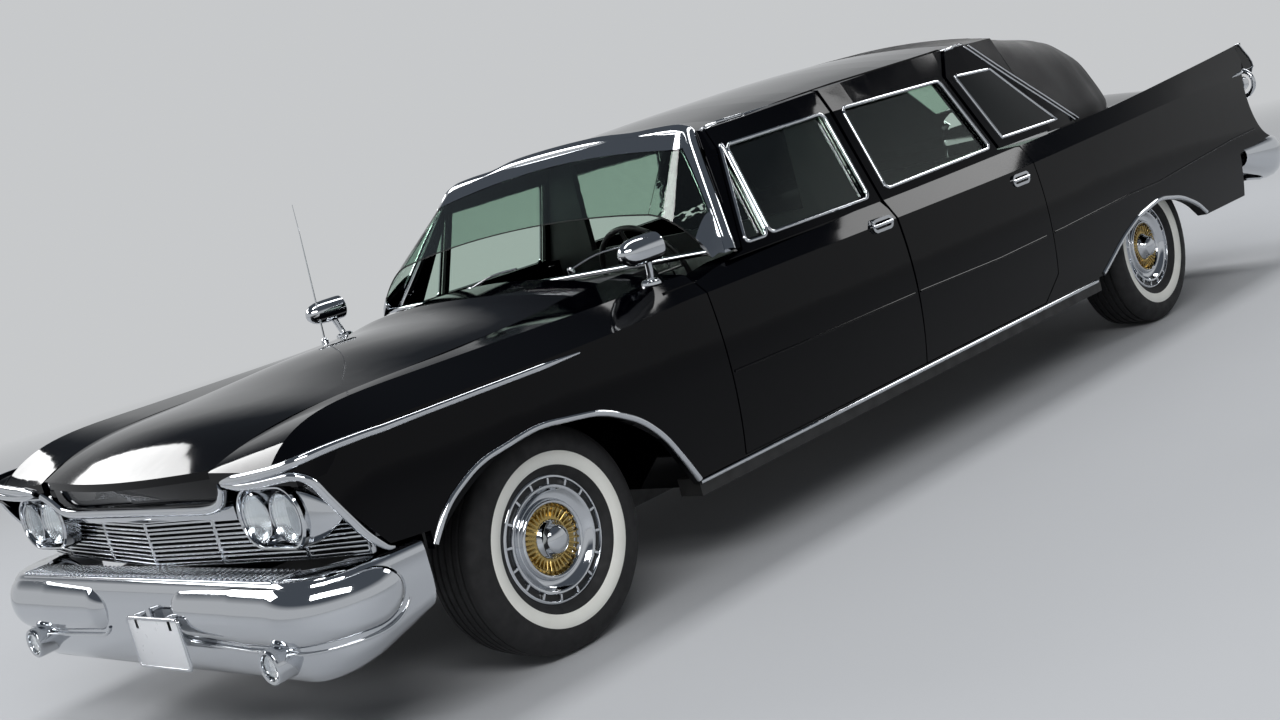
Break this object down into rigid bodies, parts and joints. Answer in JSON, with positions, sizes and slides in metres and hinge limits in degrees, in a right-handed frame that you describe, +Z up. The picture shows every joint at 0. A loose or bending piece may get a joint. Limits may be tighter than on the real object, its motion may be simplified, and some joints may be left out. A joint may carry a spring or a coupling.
{
  "type": "limousine",
  "caption": "Long late-1950s limousine with rear fins, wrapped windscreen, chrome grille and bumpers; wheels roll and steer, doors, hood and trunk lid open.",
  "frame": {"origin": "on the ground, midway along and across the car", "axes": "the front faces -Y, the left side is +X, up is +Z"},
  "size_m": [2.0522, 6.2271, 1.528],
  "materials": {
    "paint": "gloss black enamel",
    "chassis": "satin black paint",
    "underbody": "satin black underbody paint",
    "roof_leather": "matt black grained leather cover",
    "glass": "green-tinted safety glass",
    "lamp_glass": "clear fluted lens glass",
    "chrome": "polished chrome plate",
    "wheel_chrome": "polished steel wheel cover",
    "trim": "dark interior trim",
    "leather": "dark seat leather",
    "castings": "cast iron, lightly oiled",
    "pipework": "dull steel tube",
    "tyre": "rubber with a wide white wall"
  },
  "bodies": {
    "body": {"chassis_frame": "chassis", "floor_pan": "underbody", "cowl": "paint", "nose_panel": "paint", "front_fenders": "paint", "rear_quarters": "paint", "rear_deck": "paint", "roof": "paint", "roof_cover": "roof_leather", "cabin_glass": "glass", "grille": "chrome", "headlamp_bezels": "chrome", "headlamps": "lamp_glass", "front_bumper": "chrome", "rear_bumper": "chrome", "tail_lamps": "chrome", "mirrors": "chrome", "dashboard": "trim", "steering_wheel": "trim", "front_seat": "leather", "rear_seat": "leather", "partition": "trim", "engine": "castings", "driveline": "castings", "radiator": "chassis", "fuel_tank": "chassis", "exhaust": "pipework", "front_suspension": "chassis", "rear_axle": "chassis", "windscreen_frame": "chrome"},
    "front_left_door": {"front_door_left": "paint", "front_glass_left": "glass", "front_handle_left": "chrome"},
    "front_left_wheel": {"wheel_front_left": "wheel_chrome", "tyre_front_left": "tyre"},
    "front_right_door": {"front_door_right": "paint", "front_glass_right": "glass", "front_handle_right": "chrome"},
    "front_right_wheel": {"wheel_front_right": "wheel_chrome", "tyre_front_right": "tyre"},
    "rear_left_door": {"rear_door_left": "paint", "rear_glass_left": "glass", "rear_handle_left": "chrome"},
    "rear_left_wheel": {"wheel_rear_left": "wheel_chrome", "tyre_rear_left": "tyre"},
    "rear_right_door": {"rear_door_right": "paint", "rear_glass_right": "glass", "rear_handle_right": "chrome"},
    "rear_right_wheel": {"wheel_rear_right": "wheel_chrome", "tyre_rear_right": "tyre"},
    "left_knuckle": {"knuckle_left": "castings"},
    "right_knuckle": {"knuckle_right": "castings"},
    "hood": {"hood": "paint"},
    "trunk_lid": {"trunk_lid": "paint"}
  },
  "joints": [
    {"name": "steer_left", "type": "hinge", "parent": "body", "child": "left_knuckle", "pos_m": [0.68, -2.1725, 0.346], "axis": [0, 0, 1], "range_deg": [-30, 30]},
    {"name": "front_wheel_left", "type": "hinge", "parent": "left_knuckle", "child": "front_left_wheel", "pos_m": [0.785, -2.1725, 0.346], "axis": [1, 0, 0], "continuous": true},
    {"name": "rear_wheel_left", "type": "hinge", "parent": "body", "child": "rear_left_wheel", "pos_m": [0.7925, 1.6245, 0.346], "axis": [1, 0, 0], "continuous": true},
    {"name": "front_door_swing_left", "type": "hinge", "parent": "body", "child": "front_left_door", "pos_m": [1.012, -1.3935, 0.6], "axis": [0, 0, 1], "range_deg": [-65, 0]},
    {"name": "rear_door_swing_left", "type": "hinge", "parent": "body", "child": "rear_left_door", "pos_m": [1.012, -0.3195, 0.6], "axis": [0, 0, 1], "range_deg": [-65, 0]},
    {"name": "steer_right", "type": "hinge", "parent": "body", "child": "right_knuckle", "pos_m": [-0.68, -2.1725, 0.346], "axis": [0, 0, 1], "range_deg": [-30, 30]},
    {"name": "front_wheel_right", "type": "hinge", "parent": "right_knuckle", "child": "front_right_wheel", "pos_m": [-0.785, -2.1725, 0.346], "axis": [1, 0, 0], "continuous": true},
    {"name": "rear_wheel_right", "type": "hinge", "parent": "body", "child": "rear_right_wheel", "pos_m": [-0.7925, 1.6245, 0.346], "axis": [1, 0, 0], "continuous": true},
    {"name": "front_door_swing_right", "type": "hinge", "parent": "body", "child": "front_right_door", "pos_m": [-1.012, -1.3935, 0.6], "axis": [0, 0, 1], "range_deg": [0, 65]},
    {"name": "rear_door_swing_right", "type": "hinge", "parent": "body", "child": "rear_right_door", "pos_m": [-1.012, -0.3195, 0.6], "axis": [0, 0, 1], "range_deg": [0, 65]},
    {"name": "hood_lift", "type": "hinge", "parent": "body", "child": "hood", "pos_m": [0, -1.5465, 1.04], "axis": [1, 0, 0], "range_deg": [-50, 0]},
    {"name": "trunk_lift", "type": "hinge", "parent": "body", "child": "trunk_lid", "pos_m": [0, 2.2645, 1.062], "axis": [1, 0, 0], "range_deg": [0, 70]}
  ],
  "couplings": [
    {"joint": "steer_right", "follows": "steer_left", "ratio": 1}
  ]
}
